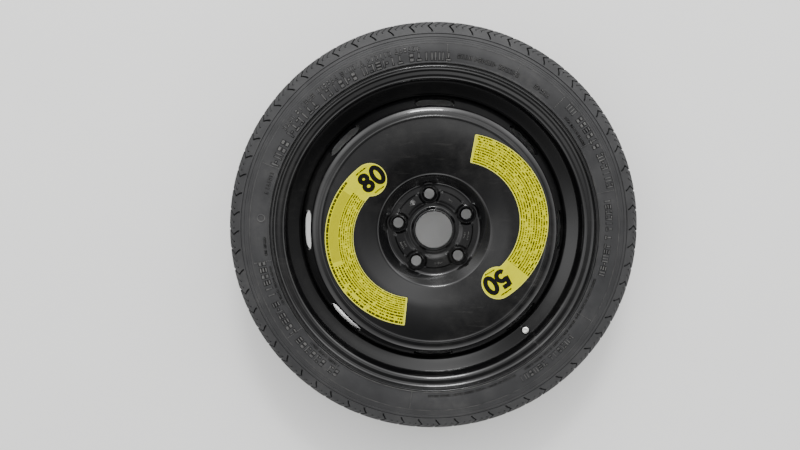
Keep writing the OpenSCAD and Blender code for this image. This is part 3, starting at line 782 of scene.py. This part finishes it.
# %% Tyre profile
TYRE_W, SECTION_R, TREAD_W = 125.0, 316.1, 93.0
bead_r, bead_z = seat_r + 0.2, RIM_W / 2 - 0.2
edge_r, edge_z, side_z = SECTION_R - 3, TREAD_W / 2, TYRE_W / 2
rib_r = edge_r - 19
curl = (seat_r + FLANGE_H - CURL_R + (CURL_R + 0.2) * math.sin(math.pi / 3),
        RIM_W / 2 + CURL_R - (CURL_R + 0.2) * math.cos(math.pi / 3))
lip_r = seat_r + FLANGE_H
tyre_outer = [
    (bead_r - 14.5 * math.tan(math.radians(5)), bead_z - 14.5, 0), (bead_r, bead_z, 5.3),
    (curl[0] - (curl[1] - bead_z) / math.tan(math.pi / 3), bead_z, CURL_R + 0.2),
    (lip_r + 1.6, side_z - 2.6, 1.5), (lip_r + 2.6, side_z - 1.2, 0.4), (lip_r + 3.8, side_z - 1.2, 0.4),
    (lip_r + 4.4, side_z - 1.7, 0.4), (lip_r + 20, side_z, 50), (rib_r - 12.6, side_z - 2.0, 4),
    (rib_r - 12.2, side_z - 2.6, 0), (rib_r - 5.6, side_z - 4.4, 0), (rib_r - 5.2, side_z - 3.8, 0.4),
    (rib_r - 1.8, side_z - 4.9, 0.4), (rib_r - 1.4, side_z - 6.2, 0), (rib_r - 0.4, side_z - 6.5, 0),
    (rib_r, side_z - 5.6, 0.5), (edge_r - 6, edge_z + 4.4, 8), (edge_r, edge_z - 1, 3),
    (SECTION_R - 0.9, edge_z * 0.6, 40), (SECTION_R, 0, 0)]
tyre_inner = [
    (SECTION_R - 10.5, 0, 0), (SECTION_R - 12.5, edge_z - 4, 12), (rib_r - 6, side_z - 11.5, 12),
    (lip_r + 20, side_z - 6.5, 40), (lip_r + 2, side_z - 11, 12), (seat_r + 6, bead_z - 13, 8),
    (bead_r - 14.5 * math.tan(math.radians(5)) + 0.8, bead_z - 12.5, 0)]
skin = spread(rounded(tyre_outer), 2.0)[::-1]
lining = spread(rounded(tyre_inner, step=14, chord=8), 14.0)
print("tyre rows", len(skin), "outside", len(lining), "inside")

# %% Tyre pitches
rng = np.random.default_rng(7)
PITCHES = 64
pitch = rng.choice([5.25, 5.6, 6.0], PITCHES)
pitch *= 360 / pitch.sum()
pitch_start = np.radians(np.concatenate([[0], np.cumsum(pitch)[:-1]]))
# Columns of one pitch as shares of it: the slot lies within 0.04 of its start
COLUMNS = np.array([-.050, -.034, .034, .050, .13, .23, .335, .36, .385, .46, .565, .645, .67,
                    .695, .78, .88])
slot_mask = np.where(np.abs(COLUMNS) < 0.04, 1.0, 0.0)
sipe_mask = np.where(np.isclose(COLUMNS, .36) | np.isclose(COLUMNS, .67), 1.0, 0.0)
tyre_turn = (pitch_start[:, None] + np.radians(pitch)[:, None] * COLUMNS[None]).ravel()
tyre_slot, tyre_sipe = np.tile(slot_mask, PITCHES), np.tile(sipe_mask, PITCHES)


def hook(radius, z):
    """How far the slots lean, in radians: out to the apex at R 306 and back towards the tread."""
    lean = np.interp(radius, [rib_r, 300, 306, 312.5], [0, 0.35, 1.3, -0.4])
    across = np.interp(np.abs(z), [0, edge_z - 4, edge_z + 2], [3.2, 0.0, 0.0])
    return np.radians(lean + across)


def tyre_slots(r, z):
    """Depth cut into the tyre at each row and column (mm): shoulder slots, sipes and grooves."""
    slots = smooth(r, 296.5, 299.0) * (3.4 + 2.0 * smooth(r, 307, 312)) * smooth(z, 15.8, 17.0)
    sipes = smooth(r, 304.0, 305.5) * (1 - smooth(r, 312.2, 313.0)) * smooth(z, 40, 42) * 2.4
    side_groove = smooth(z, 19.9, 20.6) * (1 - smooth(z, 27.4, 28.1))
    grooves = np.maximum(side_groove, 1 - smooth(z, 2.9, 3.6)) * (r > 312) * 4.5
    cut = np.maximum(slots[:, None] * tyre_slot, sipes[:, None] * tyre_sipe)
    return np.maximum(cut, grooves[:, None])


def tyre_piece(name, side, rows, inner_rows, turn, lean, depth):
    """A closed ring of the tyre: rows of the skin pushed in along their normals, and the lining
    behind them. side is +1 outboard, -1 inboard."""
    r, z, n = skin[rows, :1], skin[rows, 1:], skin_normal[rows]
    height = (z - n[:, 1:] * depth) * side - OFFSET
    outer = around(r - n[:, :1] * depth, height, turn[None] + lean[:, None])
    back = lining[inner_rows]
    inner = around(back[:, :1], back[:, 1:] * side - OFFSET, turn[None] + lean[0])
    grid = np.concatenate([outer, inner[::-1]])
    faces = grid_faces(len(grid), len(turn), True, True, flip=side < 0)
    ring = make_mesh(name, grid.reshape(-1, 3), faces, rubber, "wheel", smooth=35)
    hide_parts("tyre")


def nearest(points, r, z):
    """Index of the point nearest to a place in the section."""
    return int(np.argmin(np.hypot(points[:, 0] - r, points[:, 1] - z)))


skin_normal = outward(skin)
if (skin_normal * (skin - skin.mean(0))).sum() < 0:
    skin_normal = -skin_normal
cut_row = nearest(skin, rib_r - 0.4, side_z - 6.5)
cut_inner = nearest(lining, rib_r - 6, side_z - 11.5)
tread, wall = slice(0, cut_row + 1), slice(cut_row, None)
tread_r, tread_z = skin[tread].T
plain = np.zeros(len(skin[wall]))
for side, word in ((1, "outboard"), (-1, "inboard")):
    tyre_piece("tyre_%s_tread" % word, side, tread, slice(0, cut_inner + 1), tyre_turn,
               hook(tread_r, tread_z), tyre_slots(tread_r, tread_z))
    tyre_piece("tyre_%s_side" % word, side, wall, slice(cut_inner, None), even_turn,
               plain, plain[:, None])

# %% [markdown]
# Moulded marks on the sidewall are low relief: rows of plain stroke marks, radial tick lines,
# thin rings, a small ring and knurled bands. Each stroke is a small closed block that follows
# the sidewall, painted greyer as wear and dust and as painted highlight, on a lower step painted
# dark as painted shade, so its edges show as they do on the real tyre.


# %% Sidewall relief
SINK = 0.4  # how deep the foot of a raised mark stands in the sidewall, mm
side_rows = skin[(skin[:, 0] > 247) & (skin[:, 0] < 292.5) & (skin[:, 1] > 40)]
side_rows = side_rows[np.argsort(side_rows[:, 0])]


def side_height(radius):
    """Height of the sidewall over the tyre's middle plane at a radius (mm)."""
    return np.interp(radius, side_rows[:, 0], side_rows[:, 1])


def blocks(name, boxes, lift, material, side=1, taper=0.25):
    """Closed blocks on the sidewall. A box is (inner radius, outer radius, start and end angle in
    degrees); each block's top is a 2 by 4 grid lifted off the sidewall, narrower than its foot."""
    low, high, a0, a1 = np.array(boxes, float).T
    v, u = np.meshgrid([0, 1], np.linspace(0, 1, 4), indexing="ij")
    v, u = v.ravel(), u.ravel()

    def layer(inset, rise):
        radius = (low + inset)[:, None] * (1 - v) + (high - inset)[:, None] * v
        trim = np.degrees(inset / radius)
        angle = (a0[:, None] + trim) * (1 - u) + (a1[:, None] - trim) * u
        return around(radius, (side_height(radius) + rise) * side - OFFSET, np.radians(angle))

    points = np.concatenate([layer(0.0, -SINK), layer(taper, lift)], 1)
    one = sheet_faces(2, 4)
    if side < 0:
        one = one[:, ::-1]
    faces = (one[None] + 16 * np.arange(len(boxes))[:, None, None]).reshape(-1, 4)
    return make_mesh(name, points.reshape(-1, 3), faces, material, "wheel", smooth=25)


# Each mark is a few bars: (low, high) across and (start, end) along, as shares of its box
STROKES = [
    [(0, 1, 0, .28), (0, 1, .72, 1)],
    [(0, 1, .36, .64)],
    [(0, .22, 0, 1), (.39, .61, 0, 1), (.78, 1, 0, 1)],
    [(0, 1, 0, .28), (.78, 1, .45, 1), (0, .22, .45, 1)],
    [(0, .40, .1, .9), (.60, 1, .1, .9)],
    [(0, 1, .72, 1), (.39, .61, 0, .5)],
    [(0, .22, 0, 1), (.35, 1, .36, .64)]]


def mark_row(low, high, start, end, gap=0.5, group=6):
    """A row of plain stroke marks between two angles, each 0.62 as wide as it is high; a few
    marks and then a space, as moulded rows have."""
    marks, at, count, tall = [], start, 0, high - low
    while at < end:
        wide = np.degrees(0.62 * tall / low)
        for r0, r1, c0, c1 in STROKES[rng.integers(len(STROKES))]:
            marks.append((low + r0 * tall, low + r1 * tall, at + c0 * wide, at + c1 * wide))
        count += 1
        at += wide * (1 + gap + (0.9 if count % group == 0 else 0))
    return marks


def mark_rows(*rows):
    """Several rows, drawn in this order."""
    return [mark for row in rows for mark in mark_row(*row)]


def steps(marks, size):
    """The marks' feet, wider all round by a size in mm."""
    return [(r0 - size, r1 + size, a0 - np.degrees(size / r0), a1 + np.degrees(size / r0))
            for r0, r1, a0, a1 in marks]


def thin_ring(radius):
    """A line round the tyre, 0.7 mm wide, in blocks of three degrees."""
    return [(radius, radius + 0.7, a, a + 3.0) for a in range(0, 360, 3)]


big = mark_rows((254.0, 265.5, 85, 157), (267.5, 277.5, 14, 43), (261, 271.5, 190, 236),
                (260, 269, 0, 11.5), (259, 268, 345, 358), (262, 271, 300, 324))
small = mark_rows((268.5, 275.5, 95, 146), (259, 265, 62, 83), (259, 265, 50, 55.5),
                  (256.5, 259.7, 30, 41), (256, 259.2, 182, 188), (254, 257, 192, 206),
                  (254, 257, 222, 235), (255, 258, 268, 299), (254.5, 257.5, 303, 343),
                  (257, 262, 160, 167))
ticks = [(251.5 + 3 * k, 253.9 + 3 * k, a, a + 0.3)
         for a in (12.8, 29.6, 46, 63, 86.2, 158, 190, 216, 262, 330) for k in range(9)]
inboard = mark_rows((258, 268, 20, 110), (258, 268, 200, 300))
# The steps are dark blocks round the marks' feet, painted shade; the marks, ticks and rings on them are
# painted greyer, partly wear and dust, partly painted highlight
shade_steps = steps(big, 0.8) + steps(small, 0.45)
thin_rings = thin_ring(279.3) + thin_ring(250.2)
for relief in (blocks("sidewall_mark_shade_steps", shade_steps, 0.07, painted_shade_rubber, taper=0.05),
               blocks("inboard_mark_shade_steps", steps(inboard, 0.8), 0.07, painted_shade_rubber, -1, taper=0.05),
               blocks("sidewall_marks", big + small, 0.9, raised_rubber, taper=0.35),
               blocks("sidewall_ticks", ticks, 0.6, raised_rubber),
               blocks("sidewall_rings", thin_rings, 0.4, raised_rubber, taper=0.15),
               blocks("inboard_marks", inboard, 0.9, raised_rubber, -1, taper=0.35)):
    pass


# %% Knurled band and ring mark
def knurl(name, low, high, teeth, lift, side):
    """A closed band of fine radial ribs: two columns a tooth, every other one lifted."""
    turn = np.arange(teeth * 2) * TAU / (teeth * 2)
    up = np.tile([0.0, lift], teeth)[None]
    radius = np.array([low, low + 0.3, high - 0.3, high])[:, None]
    rise = np.array([-0.3, 1, 1, -0.3])[:, None] * np.maximum(up, 0.02) + 0.02
    top = around(radius, (side_height(radius) + rise) * side - OFFSET, turn[None])
    foot = around(radius[::3], (side_height(radius[::3]) - SINK) * side - OFFSET, turn[None])
    grid = np.concatenate([foot[:1], top, foot[1:]])
    faces = grid_faces(6, len(turn), True, True, flip=side > 0)
    return make_mesh(name, grid.reshape(-1, 3), faces, rubber, "wheel", smooth=20)


for side, word in ((1, "outboard"), (-1, "inboard")):
    for k, (low, high) in enumerate([(282.2, 284.9), (285.3, 288.0)]):
        band = knurl("knurl_%s_%d" % (word, k + 1), low, high, 460, 0.35, side)

# The ring mark is a torus laid on the sidewall: across = r + (R + q cos w) cos t
mark_r, mark_turn, ring_r, tube_r = 262.5, math.radians(175.6), 5.4, 0.8
t, w = np.meshgrid(np.arange(40) * TAU / 40, np.arange(8) * TAU / 8, indexing="ij")
reach = ring_r + tube_r * np.cos(w)
ring_out = mark_r + reach * np.cos(t)
ring_points = around(ring_out, side_height(ring_out) + tube_r * np.sin(w) - OFFSET,
                     mark_turn + reach * np.sin(t) / mark_r)
ring_mark = make_mesh("sidewall_ring_mark", ring_points.reshape(-1, 3),
                      grid_faces(40, 8, True, True, flip=True), raised_rubber, "wheel")

# %% [markdown]
# The cap is a hollow turned piece on the tilted valve. Its profile starts at the middle of the
# dimpled end, runs down the knurled outside and up the bore; a fan of quads closes each pole.

# %% Valve cap
CAP_TURN, CAP_LOW, CAP_TOP, CAP_CEILING, CAP_R = math.radians(-47.6), 14.3, 26.8, 25.0, 5.3
VALVE_IN, CAP_COLS, KNURL_DEPTH = 10.5, 64, 0.28


def on_valve(radius, height, angle):
    """Points about the valve's axis: tilted with the rim's wall, then turned to its place."""
    x, y = radius * np.cos(angle), radius * np.sin(angle)
    sin, cos = math.sin(WALL_TILT), math.cos(WALL_TILT)
    wall = wall_top_z - VALVE_IN * math.tan(WALL_TILT) + RIM_T / cos - OFFSET
    out = seat_in_r - VALVE_IN + x * cos - height * sin
    up = wall + x * sin + height * cos
    return np.stack([out * math.cos(CAP_TURN) - y * math.sin(CAP_TURN),
                     out * math.sin(CAP_TURN) + y * math.cos(CAP_TURN), up], -1) * MM


cap_turn = np.arange(CAP_COLS) * TAU / CAP_COLS
cap_profile = np.array([
    (1.4, CAP_TOP - 0.9), (2.2, CAP_TOP - 0.75), (2.7, CAP_TOP - 0.1), (3.1, CAP_TOP),
    (4.2, CAP_TOP - 0.2), (4.9, CAP_TOP - 0.8), (5.2, CAP_TOP - 1.8), (5.2, CAP_TOP - 2.2),
    (CAP_R, CAP_TOP - 2.6), (CAP_R, CAP_LOW + 1.4), (5.2, CAP_LOW + 1.0), (5.1, CAP_LOW + 0.2),
    (4.9, CAP_LOW), (4.3, CAP_LOW), (4.1, CAP_LOW + 0.3), (4.1, CAP_CEILING - 0.3),
    (3.8, CAP_CEILING), (1.4, CAP_CEILING)])
grooved = (cap_profile[:, :1] == CAP_R) & (np.arange(CAP_COLS) % 2 == 1)
cap_radius = cap_profile[:, :1] - KNURL_DEPTH * grooved
cap_points = on_valve(cap_radius, cap_profile[:, 1:], cap_turn[None]).reshape(-1, 3)
poles = on_valve(np.zeros(2), np.array([CAP_TOP - 0.9, CAP_CEILING]), np.zeros(2))
last_row = (len(cap_profile) - 1) * CAP_COLS
even = np.arange(0, CAP_COLS, 2)
fan = np.stack([even, even + 1, (even + 2) % CAP_COLS], 1)
pole = np.full((len(even), 1), len(cap_points))
cap_faces = np.concatenate([grid_faces(len(cap_profile), CAP_COLS, False, True, flip=True),
                            np.hstack([pole, fan]), np.hstack([pole + 1, fan[:, ::-1] + last_row])])
cap = make_mesh("cap_turned", np.concatenate([cap_points, poles]), cap_faces, cap_metal, "cap",
                smooth=32)
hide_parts("valve_cap")

# %% [markdown]
# The labels are printed film on the face. Each is an arc band that ends in a round head. The
# grid runs along the arc, and between the inner and the outer edge, which both follow the head's
# circle where it takes over. A Shrinkwrap could lay a flat film on the face; here each point
# takes its height from the disc's own profile, so the gap under the film is even.

# %% Label film
LABEL_OUT, LABEL_IN, HEAD_R, SPAN = 136.5, 92.0, 25.8, math.radians(137.1)
HEAD_AT = LABEL_OUT - HEAD_R


def face_height(x, y):
    """Height of the disc's outboard face at a place in plan (mm)."""
    return np.interp(np.hypot(x, y), front[:, 0], front[:, 1])


def label_edges(a):
    """Inner and outer edge radius of a label at an angle a from its square end."""
    off = np.minimum(np.abs(a - SPAN), math.asin(HEAD_R / HEAD_AT))
    half = np.sqrt(np.maximum(HEAD_R ** 2 - (HEAD_AT * np.sin(off)) ** 2, 0))
    low, high = HEAD_AT * np.cos(off) - half, HEAD_AT * np.cos(off) + half
    band = a <= SPAN
    return np.where(band, np.minimum(LABEL_IN, low), low), np.where(band, LABEL_OUT, high)


def label_point(at, turn, radius, angle, lift):
    """A point of a label: polar about the label's own centre, dropped on the disc's face."""
    x = at[0] + radius * np.cos(turn - angle)
    y = at[1] + radius * np.sin(turn - angle)
    return np.stack([x, y, face_height(x, y) + lift], -1) * MM


def label(name, node, at, turn, film_finish):
    """A closed thin film: top and underside grids joined at the edges. Its first UV layer holds
    the distance to the outline, its second the distance along the arc and the radius."""
    end = SPAN + math.asin(HEAD_R / HEAD_AT) - 1e-4
    a = np.concatenate([np.linspace(0, SPAN - 0.3, 110), np.linspace(SPAN - 0.3, end, 60)[1:]])
    low, high = label_edges(a)
    w = np.concatenate([[0, 0.012, 0.03], np.linspace(0.06, 0.94, 24), [0.97, 0.988, 1]])
    radius = low[:, None] + (high - low)[:, None] * w[None]
    ang = np.broadcast_to(a[:, None], radius.shape)
    top = label_point(at, turn, radius, ang, 0.30)
    under = label_point(at, turn, radius, ang, 0.05)
    rows, cols = radius.shape
    points = np.concatenate([top.reshape(-1, 3), under.reshape(-1, 3)])
    head = np.hypot(radius * np.cos(ang - SPAN) - HEAD_AT, radius * np.sin(ang - SPAN))
    in_band = np.minimum(LABEL_OUT - radius, np.maximum(radius - LABEL_IN, HEAD_R - head))
    edge = np.where(ang > SPAN, HEAD_R - head, in_band)
    edge = np.minimum(edge, radius * np.sin(np.minimum(ang, 1.5)))
    uv = np.stack([edge, ang * LABEL_OUT], -1).reshape(-1, 2) * MM
    faces = sheet_faces(rows, cols)[:, ::-1]
    film = make_mesh(name, points, faces, film_finish, "wheel", uv=np.concatenate([uv, uv]),
                     smooth=50)
    polar = np.stack([ang * LABEL_OUT, radius], -1).reshape(-1, 2) * MM
    layer = film.data.uv_layers.new(name="polar")
    both = np.concatenate([polar, polar])[faces.ravel()]
    layer.data.foreach_set("uv", both.astype(np.float32).ravel())
    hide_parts(node)


LEFT = ((-31.0, -11.0), math.radians(264.1))
RIGHT = ((37.0, 12.0), math.radians(80.4))
label("label_film_left", "speed_label_left", *LEFT, left_film)
label("label_film_right", "speed_label_right", *RIGHT, right_film)

# %% [markdown]
# The numbers are printed with a pen of constant width. Each digit is one or more centre lines,
# open or closed, and becomes a thin closed ribbon just above the film.


# %% Numbers on the labels
PEN = 7.0


def stroke(centre_line, width, closed):
    """Left and right edges of a pen stroke of constant width along a centre line (mm)."""
    line = np.asarray(centre_line, float)
    before, after = np.roll(line, 1, 0), np.roll(line, -1, 0)
    if not closed:
        before[0], after[-1] = line[0], line[-1]
    t = after - before
    t /= np.linalg.norm(t, axis=1, keepdims=True)
    n = np.stack([-t[:, 1], t[:, 0]], 1) * width / 2
    return line + n, line - n


def ring(centre, rx, ry, n=48):
    """n points of an ellipse: (rx cos t, ry sin t) about its centre."""
    t = np.arange(n) * TAU / n
    return np.stack([centre[0] + rx * np.cos(t), centre[1] + ry * np.sin(t)], 1)


bowl = np.radians(np.linspace(140, -145, 34))
DIGITS = {
    "0": [(ring((0, 0), 7.0, 12.4), True)],
    "8": [(ring((0, 6.7), 5.6, 5.2), True), (ring((0, -6.1), 6.3, 5.9), True)],
    "5": [(np.array([(6.6, 12.0), (0, 12.0), (-4.6, 12.0)]), False),
          (np.array([(-4.3, 14.4), (-5.2, 6), (-6.0, -1.2)]), False),
          (np.stack([0.2 + 7.0 * np.cos(bowl), -4.6 + 7.4 * np.sin(bowl)], 1), False)],
}


def printed(name, digits):
    """Digits, each (glyph, place of its middle, angle of its upright), turned to that reading
    direction and dropped on the face."""
    points, faces, start = [], [], 0
    for glyph, centre, up in digits:
        for line, closed in DIGITS[glyph]:
            edges = np.stack(stroke(line, PEN, closed), 1)
            sin, cos = math.sin(math.radians(up - 90)), math.cos(math.radians(up - 90))
            x = centre[0] + edges[..., 0] * cos - edges[..., 1] * sin
            y = centre[1] + edges[..., 0] * sin + edges[..., 1] * cos
            z = face_height(x, y)
            top, base = np.stack([x, y, z + 0.36], -1), np.stack([x, y, z + 0.25], -1)
            section = np.concatenate([top, base[:, ::-1]], 1) * MM
            n = len(section)
            made = grid_faces(n, 4, closed, True)
            if not closed:
                made = np.concatenate([made, [[3, 2, 1, 0]], [[(n - 1) * 4 + k for k in range(4)]]])
            points.append(section.reshape(-1, 3))
            faces.append(made + start)
            start += n * 4
    number = make_mesh(name, np.concatenate(points), np.concatenate(faces), print_ink, "wheel",
                       smooth=30)


printed("label_number_left", [("8", (-103.6, 72.8), 126.5), ("0", (-87.0, 85.0), 126.5)])
printed("label_number_right", [("5", (105.0, -74.0), -56.7), ("0", (87.4, -84.9), -56.7)])

# %% [markdown]
# A pale floor carries the wheel. The room is a dark dome with soft glows at chosen angles,
# which give the gloss paint its light and dark bands. One compact lamp draws the thin highlight
# of the crest, and three low lamps, under the disc and two of its windows, keep the floor pale
# that shows through the windows.

# %% Floor
FLOOR_GAP, FLOOR_REACH = 0.0003, 4
floor_z = solid_box[0][2] - FLOOR_GAP
ends = (-FLOOR_REACH, FLOOR_REACH)
floor_mesh = bpy.data.meshes.new("floor")
floor_mesh.from_pydata([(x, y, floor_z) for x in ends for y in ends], [], [(0, 2, 3, 1)])
floor_paint = clouded((0.80, 0.80, 0.79), (0.86, 0.86, 0.85), (3.0, 4.0), (0.1, 0.55))
floor_mesh.materials.append(finish("floor_paint", floor_paint))
floor = bpy.data.objects.new("floor", floor_mesh)
bpy.context.scene.collection.objects.link(floor)


# %% Lights
def soft_light(name, place, size, watts, aim):
    """An area lamp that lights but is not seen itself."""
    data = bpy.data.lights.new(name, "AREA")
    data.shape, data.size, data.size_y = "RECTANGLE", *size
    data.energy = watts
    lamp = bpy.data.objects.new(name, data)
    lamp.location = place
    lamp.rotation_mode = "QUATERNION"
    lamp.rotation_quaternion = (Vector(aim) - Vector(place)).to_track_quat("-Z", "Y")
    lamp.visible_camera = False
    bpy.context.scene.collection.objects.link(lamp)


def low_lamp(name, x, y, z, size, watts):
    """A lamp under the wheel that points straight down."""
    soft_light(name, (x, y, z), size, watts, (x, y, -1))


soft_light("key_softbox", (0.0, 1.85, 1.55), (0.55, 0.24), 27.0, (0, 0, 0))
low_lamp("under_lamp", -0.03, 0, -0.035, (0.26, 0.26), 0.026)
low_lamp("left_window_lamp", -0.205, -0.01, -0.055, (0.03, 0.10), 0.022)
low_lamp("lower_window_lamp", -0.152, -0.142, -0.055, (0.05, 0.05), 0.035)
world = bpy.data.worlds.new("room")
world.use_nodes = True
sky = Wire(world.node_tree)
toward = sky.node("ShaderNodeTexCoord", out="Generated")
# Soft glows on the dome: angle from straight up, direction in plan, width (degrees), strength
GLOWS = [(0, 0, 8, 0.15), (14, 45, 7, 2.0), (14, 0, 7, 0.43), (14, 180, 7, 1.3),
         (14, 225, 7, 0.12), (14, 270, 7, 0.11), (30, 0, 9, 0.24), (25, 90, 7, 2.4),
         (25, 180, 7, 1.2), (50, 45, 12, 1.7), (50, 90, 12, 3.2), (50, 135, 12, 2.7),
         (50, 180, 12, 2.1), (50, 225, 12, 1.2), (75, 0, 15, 1.9), (75, 45, 15, 3.5),
         (64, 90, 10, 8.0), (75, 135, 15, 2.3), (75, 180, 15, 0.21), (75, 225, 15, 1.3),
         (75, 270, 15, 3.0), (75, 315, 15, 2.2)]
glow = 0.02
for *angles, strength in GLOWS:
    tilt, plan, width = map(math.radians, angles)
    middle = (math.sin(tilt) * math.cos(plan), math.sin(tilt) * math.sin(plan), math.cos(tilt))
    facing = toward.node("ShaderNodeVectorMath", {0: toward, 1: middle}, out="Value",
                         operation="DOT_PRODUCT")
    glow = ((facing - 1) * (1 / width ** 2)).math("EXPONENT") * strength + glow
background = world.node_tree.nodes["Background"]
sky.put(background.inputs["Color"], glow)
background.inputs["Strength"].default_value = 1.0
bpy.context.scene.world = world
